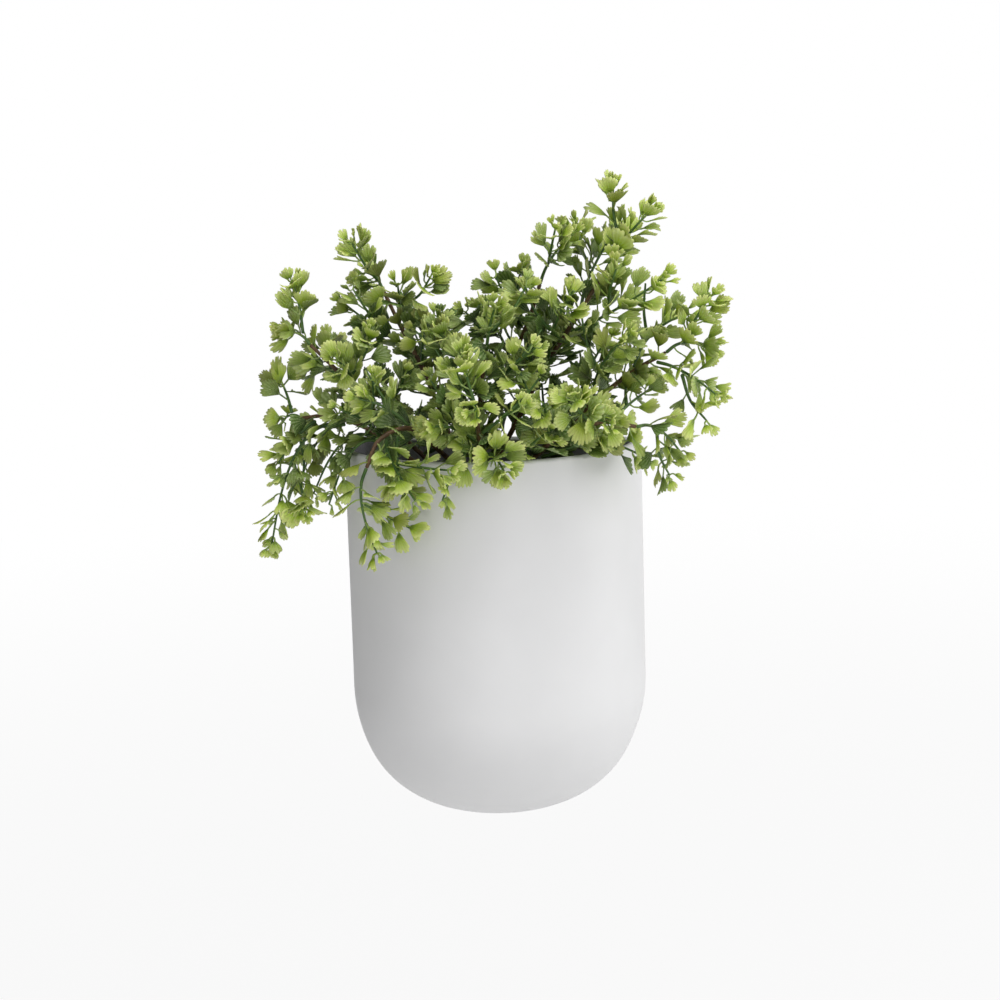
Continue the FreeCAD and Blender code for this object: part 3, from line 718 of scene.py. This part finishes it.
# %% The blade of a leaf
blade_rows = (0.0, 0.4, 0.75, 1.0)
columns_per_tooth = 3
pleat_height = 0.12 * mm
pleat_rise = 0.6            # of half a wave from foot to edge, so that pleats are highest near the edge
tooth_depth = 0.10          # of the blade's length
lobe_roundness = 0.5        # smaller is rounder, with narrower notches
tooth_roundness = 0.7
shoulder_drop = 0.2         # how much shorter the blade is at its sides than in its middle
foot_half_width = 0.5 * mm
fan_half_angle = (36, 54)   # degrees
ruffle_height = (0.1, 0.8)  # millimetres
ruffle_waves = (6, 12)      # across the fan, in radians
ruffle_phase = (0, 6)
bend_across = (-10, 130)    # curvatures, in 1/m
bend_along = (-85, 45)
least_curvature = 1e-6
moulds = ((6, 3, 0.24), (6, 2, 0.18), (8, 4, 0.15), (9, 3, 0.14), (7, 1, 0.05))  # teeth, lobes, lobe depth
young_moulds = ((4, 2, 0.22), (6, 3, 0.24))


def edge_reach(place, mould):
    """How far the blade's edge reaches, as a share, for places across the fan from 0 to 1."""
    teeth, lobes, depth = mould
    lobe = np.abs(np.sin(math.pi * lobes * place)) ** lobe_roundness
    tooth = np.abs(np.sin(math.pi * teeth * place)) ** tooth_roundness
    shoulder = 1 - shoulder_drop * (2 * place - 1) ** 2
    return shoulder * (1 - depth * (1 - lobe)) * (1 - tooth_depth * (1 - tooth))


def blade_grid(length, mould, chance):
    """The bent middle surface of a blade, with its foot at the origin, along X, up Z."""
    teeth = mould[0]
    place = np.linspace(0, 1, teeth * columns_per_tooth + 1)
    rows = np.array(blade_rows)[:, None]
    reach = edge_reach(place, mould) * length
    half_angle = math.radians(chance.uniform(*fan_half_angle))
    angle = (2 * place - 1) * half_angle
    x = rows * reach * np.cos(angle)
    y = rows * reach * np.sin(angle) + foot_half_width * (2 * place - 1) * (1 - rows)
    height = chance.uniform(*ruffle_height) * mm
    ruffle = height * np.sin(place * chance.uniform(*ruffle_waves) + chance.uniform(*ruffle_phase))
    pleat = -pleat_height * np.cos(2 * math.pi * teeth * place) * np.sin(rows * math.pi * pleat_rise)
    z = ruffle * rows ** 2 + pleat
    y, z = bend(y, z, chance.uniform(*bend_across))
    x, z = bend(x, z, chance.uniform(*bend_along))
    return np.stack([x, y, z], -1), rows + 0 * place, teeth * place + 0 * rows


def bend(run, height, curvature):
    """Rolls a flat strip onto a cylinder of that curvature, in 1/m, keeping its length."""
    if abs(curvature) < least_curvature:
        return run, height
    radius = 1 / curvature
    turn = run / radius
    return (radius - height) * np.sin(turn), radius - (radius - height) * np.cos(turn)


print("a blade of 6 teeth is a grid of", len(blade_rows), "by", 6 * columns_per_tooth + 1)

# %% [markdown]
# ## A leaf with thickness and stalk
# A sheet with one skin has no edge to catch the light. A Solidify modifier could add a second skin. Here it
# is built by hand, with a border, because the blade is thinner at its edge than at its foot. A thin tube
# with two runs is the stalk.

# %% A leaf with thickness and stalk
blade_thickness = 0.36 * mm
edge_thinning = 0.35        # how much thinner the blade is at its edge
stalk_share = 0.27          # of the leaf's length
stalk_joint = 0.35          # where the stalk's middle point lies, from foot to blade
stalk_overlap = 0.5 * mm    # how far the stalk runs into the blade
stalk_radii = [0.5 * mm, 0.42 * mm, 0.42 * mm, 0.48 * mm, 0.42 * mm]
stalk_steps = 2
stalk_sides = 4


def leaf_mesh(stem_point, foot, along, side, size, mould, chance):
    """The corners and faces of a blade, with its numbers. `along` and `side` are the leaf's axes."""
    stalk_end = foot + along * (size * stalk_share)
    grid, reach, pleat = blade_grid(size * (1 - stalk_share), mould, chance)
    axes = np.array([along, side, along.cross(side)])
    middle = grid @ axes + np.array(stalk_end)
    down_rows = np.gradient(middle, axis=0)
    over_columns = np.gradient(middle, axis=1)
    normal = np.cross(down_rows, over_columns)
    normal /= np.maximum(np.linalg.norm(normal, axis=-1, keepdims=True), 1e-9)
    thin = blade_thickness * (1 - edge_thinning * reach[..., None])
    rows, columns = middle.shape[:2]
    upper, lower = middle + normal * thin / 2, middle - normal * thin / 2
    corners = np.concatenate([upper.reshape(-1, 3), lower.reshape(-1, 3)])
    total = rows * columns
    faces = []
    for i in range(rows - 1):
        for j in range(columns - 1):
            a = i * columns + j
            b = a + columns
            faces.append((a, b, b + 1, a + 1))
            faces.append((total + a, total + a + 1, total + b + 1, total + b))
    border = ([i * columns for i in range(rows)]
              + [(rows - 1) * columns + j for j in range(1, columns)]
              + [i * columns + columns - 1 for i in range(rows - 2, -1, -1)]
              + [j for j in range(columns - 2, 0, -1)])
    for a, b in zip(border, border[1:] + border[:1]):
        faces.append((b, a, total + a, total + b))
    both = np.concatenate([reach.ravel()] * 2), np.concatenate([pleat.ravel()] * 2)
    stalk = [stem_point, foot.lerp(stalk_end, stalk_joint), stalk_end + along * stalk_overlap]
    return corners, faces, both, stalk


def add_leaf(growth, leaf, age, tone):
    corners, faces, (reach, pleat), stalk = leaf
    growth.add(corners, faces, 0, reach=reach, pleat=pleat, age=age, tone=tone)
    line = smooth_line(stalk, stalk_steps)
    tube(growth, line, stalk_radii, stalk_sides, 0, reach=0.15, pleat=0.5, age=age, tone=tone)


print("both skins of a blade of 6 teeth have", len(blade_rows) * (6 * columns_per_tooth + 1) * 2, "corners")

# %% [markdown]
# ## Where a leaf may stand
# A stalk starts inside the green stem, at the point of the stem nearest to the leaf's foot. An added leaf
# must not touch the pot, at rest or while the bush is lifted straight up, so below the rim it stays wholly
# on one side of the wall. Its number for age and painted shade grows towards the tip of its stem, where
# leaves are young, and outwards in the bush, so that leaves deep inside are painted as shaded.

# %% Where a leaf may stand
bush_middle = Vector((0, -42, 35)) * mm
bush_size = Vector((100, 60, 90)) * mm
age_and_shade_inside = -0.30          # age and painted shade in the bush's middle,
painted_light_outwards = 0.80         # what the way out adds: painted light outside, painted shade inside,
age_to_tip = 0.35           # what the way to the tip adds
age_scatter = 0.45
outside_gap = 0.6 * mm      # from the pot's outer face
back_gap = 0.5 * mm         # from the wall behind
inside_gap = 0.8 * mm       # from the pot's inner faces and its rim
lowest_inside = pot_low.z * 0.1     # added leaves inside the pot end here, above the foam


def nearest_on(line, point):
    """The nearest point of a line, how far along it lies as a share, and the line's direction there."""
    best = min(range(len(line)), key=lambda i: (line[i] - point).length_squared)
    ahead = line[min(best + 1, len(line) - 1)] - line[max(best - 1, 0)]
    return line[best], best / (len(line) - 1), ahead.normalized()


def clear_of_pot(corners):
    """Whether all corners stay outside the pot's wall, also while the bush is lifted."""
    x, y, z = np.abs(corners[:, 0]), corners[:, 1], corners[:, 2]
    out = np.where(y > pot_centre_y, x, np.hypot(x, y - pot_centre_y)) - pot_radius
    outside = (out > outside_gap) & (y < -back_gap)
    inside = (out < -pot_wall - inside_gap) & (y < pot_high.y - pot_wall - inside_gap)
    above = z > pot_high.z + inside_gap
    return bool(np.all(above | outside) or np.all(above | inside) and z.min() > lowest_inside)


def leaf_age_and_shade(foot, share, chance):
    """0 for old leaves and for leaves deep in the bush, painted as shaded; 1 for young ones at the tips of
    stems and for leaves at the bush's outside, painted as lit.
    """
    way = foot - bush_middle
    out = Vector((way.x / bush_size.x, way.y / bush_size.y, way.z / bush_size.z)).length
    age = age_and_shade_inside + painted_light_outwards * out + age_to_tip * share + chance.uniform(-age_scatter, age_scatter)
    return min(1.0, max(0.0, age))


print("added leaves inside the pot stay", round((lowest_inside - foam_high.z) / mm, 1), "mm above the foam")

# %% [markdown]
# ## More leaves than plates
# The frame has one plate for each small group of leaves, which is enough for a working part but too bare to
# look at. Every plate becomes one leaf at its own place, and up to three more stand round the stem beside
# it. Others stand on the branch, just below a spray. The upper side of a leaf looks towards the tip of its
# spray, and each leaf is rolled a little about its own stalk. Leaves near a tip are young: smaller and more
# upright.

# %% More leaves than plates
whorls = ((180,), (125, 235), (90, 200), (75, 170, 280))    # more leaves round the stem, in degrees
young_whorls = ((), (90,), (180,))
turn_scatter = 24           # degrees
slide_along = (-7, 7)       # how far an added leaf is slid along the stem, in millimetres
slide_at_tip = (-10, -4)
tip_share = 0.93            # from here on a leaf belongs to the tip, and others stand only below it
young_from = 0.7            # share of a stem's length from which its leaves are young
young_shrink = 0.42
size_scatter = (0.98, 1.3)
lean_to_tip = (0.05, 0.5)   # how much a leaf leans along its stem
tip_lean = 0.5              # what a leaf at the tip leans more
roll_scatter = 42           # degrees
branch_leaf_size = 13 * mm
branch_leaf_share = 0.3     # they look like leaves at this share of a spray
branch_leaf_steps = (2 * mm, 5 * mm, 5 * mm, 5 * mm, 5 * mm, 5 * mm)    # down a branch, from a spray's foot
branch_leaf_turn = (1.9, 2.6)       # from one to the next, in radians
branch_leaf_lean = 0.5
branch_leaf_foot = 1.6 * mm         # from the branch's middle
branch_leaf_tries = 6
branch_leaf_depth = 4 * mm          # none starts further below the rim


def sprout(point, foot, along, side, size, stem_place, chance):
    """A leaf turned towards its spray's tip and rolled about its stalk, with a size for its place."""
    share, run = stem_place
    lean = chance.uniform(*lean_to_tip) + (tip_lean if share > tip_share else 0.0)
    along = (along + run * lean).normalized()
    roll = Quaternion(along, math.radians(chance.uniform(-roll_scatter, roll_scatter)))
    side = roll @ (side - along * side.dot(along)).normalized()
    youth = max(0.0, (share - young_from) / (1 - young_from))
    size *= (1 - young_shrink * youth) * chance.uniform(*size_scatter)
    mould = chance.choice(young_moulds if youth > 0.5 else moulds)
    return leaf_mesh(point, foot, along, side, size, mould, chance)


def more_places(foot, along, side, stem, chance):
    """Places beside one of the frame's leaves, turned round the stem and slid along it."""
    point, share, run = nearest_on(stem, foot)
    for turn in chance.choice(young_whorls if share > young_from else whorls):
        spin = Quaternion(run, math.radians(turn + chance.uniform(-turn_scatter, turn_scatter)))
        slide = chance.uniform(*(slide_at_tip if share > tip_share else slide_along)) * mm
        start, share_there, run_there = nearest_on(stem, point + run * slide)
        yield start, start + spin @ (foot - point), spin @ along, spin @ side, (share_there, run_there)


def branch_leaves(stem, size, chance):
    """Leaves on the branch, along the stretch just below the foot of a spray, where there is room."""
    foot = stem[0]
    branch = min(branch_lines.values(), key=lambda line: (nearest_on(line, stem[0])[0] - stem[0]).length)
    turn = chance.uniform(0, 2 * math.pi)
    for below in branch_leaf_steps:
        point, _, run = nearest_on(branch, foot)
        foot, _, run = nearest_on(branch, point - run * below)
        for _ in range(branch_leaf_tries):
            turn += chance.uniform(*branch_leaf_turn)
            outward = Quaternion(run, turn) @ run.orthogonal().normalized()
            along = (outward + run * branch_leaf_lean).normalized()
            start = foot + outward * branch_leaf_foot
            leaf = sprout(foot, start, along, run.cross(outward), size, (branch_leaf_share, run), chance)
            if foot.z > pot_high.z - branch_leaf_depth and clear_of_pot(leaf[0]):
                yield leaf, leaf_age_and_shade(foot, branch_leaf_share, chance)
                break


print("up to", max(len(w) for w in whorls), "leaves are added beside each plate")

# %% [markdown]
# ## The sprays
# Each spray becomes one piece: its green stems as tubes that grow thinner towards the tip, and all its
# leaves. Chance gets a seed that follows from the spray's number, so the bush grows the same way each time.

# %% The sprays
stem_root_radius = 0.85 * mm
stem_tip_radius = 0.45 * mm
stem_sides = 8
line_steps = 6              # points that a smooth line gets for each of its runs
spray_seed = 1000


def grow_spray(node, number):
    routes, plates = sprays[node]
    chance = random.Random(spray_seed + number)
    growth = Growth()
    stems = [smooth_line(route, line_steps) for route in routes]
    for line in stems:
        last = len(line) - 1
        thinning = stem_tip_radius - stem_root_radius
        radii = [stem_root_radius + thinning * i / last for i in range(last + 1)]
        tube(growth, line, radii, stem_sides, 1, age=0.5)
    for foot, reach, up in plates:
        stem = min(stems, key=lambda line: (nearest_on(line, foot)[0] - foot).length)
        point, share, run = nearest_on(stem, foot)
        if up.dot(run) < 0:
            up = -up
        along = reach.normalized()
        side = up.cross(along)
        first = sprout(point, foot, along, side, reach.length, (share, run), chance)
        add_leaf(growth, first, leaf_age_and_shade(foot, share, chance), chance.random())
        for start, more_foot, more_along, more_side, place in more_places(foot, along, side, stem, chance):
            more = sprout(start, more_foot, more_along, more_side, reach.length, place, chance)
            if clear_of_pot(more[0]):
                add_leaf(growth, more, leaf_age_and_shade(start, place[0], chance), chance.random())
    for leaf, age in branch_leaves(stems[0], branch_leaf_size, chance):
        add_leaf(growth, leaf, age, chance.random())
    return growth.piece(node + "_leaves", "bush", [leaf_finish, stem_finish], [node])


def root_first(route, carriers):
    """Turns a route round if its end is nearer to what carries it than its start."""
    def gap(point):
        return min((point - p).length for line in carriers for p in line)
    return route if gap(route[0]) <= gap(route[-1]) else route[::-1]


knuckle_depth = 6 * mm      # from the bound stem's top to the middle of its knuckle
stem_low, stem_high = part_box("bush_stem")
knuckle = (stem_low + stem_high) / 2
knuckle.z = stem_high.z - knuckle_depth
branch_lines = {node: smooth_line(root_first(route, [[knuckle]]), line_steps)
                for node, route in branch_routes.items()}
for node, (routes, _) in sprays.items():
    carriers = list(branch_lines.values())
    routes.sort(key=len, reverse=True)
    for i, route in enumerate(routes):
        routes[i] = root_first(route, carriers)
        if "collar" not in node:
            carriers = [smooth_line(routes[0], line_steps)]
spray_pieces = [grow_spray(node, i) for i, node in enumerate(spray_nodes)]
print("spray pieces:", len(spray_pieces), "corners:", sum(len(p.data.vertices) for p in spray_pieces))

# %% [markdown]
# ## The branches
# The branches are wires in brown plastic, thicker at the root and a little lumpy. They are tubes as the
# green stems are, and chance makes each ring a little thicker or thinner.

# %% The branches
branch_root_radius = 1.45 * mm
branch_tip_radius = 0.9 * mm
branch_sides = 10
branch_lumps = (-0.08, 0.10)        # what is added to a ring's radius, as a share of it
branch_seed = 2000


def grow_branch(node, number):
    chance = random.Random(branch_seed + number)
    line = branch_lines[node]
    growth = Growth()
    radii = []
    for i in range(len(line)):
        share = i / (len(line) - 1)
        plain = branch_root_radius + (branch_tip_radius - branch_root_radius) * share
        radii.append(plain * (1 + chance.uniform(*branch_lumps)))
    tube(growth, line, radii, branch_sides, 0)
    return growth.piece(node + "_bark", "bush", [bark_finish], [node])


branch_pieces = [grow_branch(node, i) for i, node in enumerate(branch_nodes)]
print("branch pieces:", len(branch_pieces))

# %% [markdown]
# ## The bound stem
# The stem is the bundle of all branches, bound with a spiral of tape, and it swells where they part. It
# could be a tube with a bump, but its outline shows when the bush is lifted, so the turns of the tape are
# real steps: a grid of rings whose radius depends on the depth and on how far the tape has come round.

# %% The bound stem
bare_stem_radius = 3.0 * mm
knuckle_radius = 6.0 * mm
swell_depth = 5.5 * mm      # from the stem's top to the middle of the swelling
swell_length = 5.2 * mm
dome_height = 2.5 * mm
tape_pitch = 7.0 * mm
tape_step = 0.35 * mm
tape_rows = 150
tape_sides = 28
least_radius = 0.02 * mm


def stem_radius_at(drop):
    """The bound stem's radius at a depth below its top."""
    swell = math.exp(-((drop - swell_depth) / swell_length) ** 2)
    dome = 1.0
    if drop < dome_height:
        dome = math.sqrt(max(0.0, min(1.0, drop / dome_height * (2 - drop / dome_height))))
    return (bare_stem_radius + (knuckle_radius - bare_stem_radius) * swell) * dome


def grow_stem():
    """A rod wound with tape: each turn of the tape overlaps the last by a small step."""
    growth = Growth()
    length = stem_high.z - stem_low.z
    corners = []
    for i in range(tape_rows + 1):
        drop = length * i / tape_rows
        for k in range(tape_sides):
            turn = 2 * math.pi * k / tape_sides
            overlap = ((drop / tape_pitch + k / tape_sides) % 1.0) * tape_step
            radius = max(least_radius, stem_radius_at(drop) - overlap)
            x, y = knuckle.x + radius * math.cos(turn), knuckle.y + radius * math.sin(turn)
            corners.append((x, y, stem_high.z - drop))
    faces = []
    for i in range(tape_rows):
        for k in range(tape_sides):
            a, b = i * tape_sides + k, i * tape_sides + (k + 1) % tape_sides
            faces.append((a, a + tape_sides, b + tape_sides, b))
    last = tape_rows * tape_sides
    faces += [tuple(range(tape_sides)), tuple(range(last + tape_sides - 1, last - 1, -1))]
    growth.add(corners, faces, 0)
    return growth.piece("bush_stem_tape", "bush", [bark_finish], ["bush_stem"])


print("bound stem:", len(grow_stem().data.polygons), "faces")
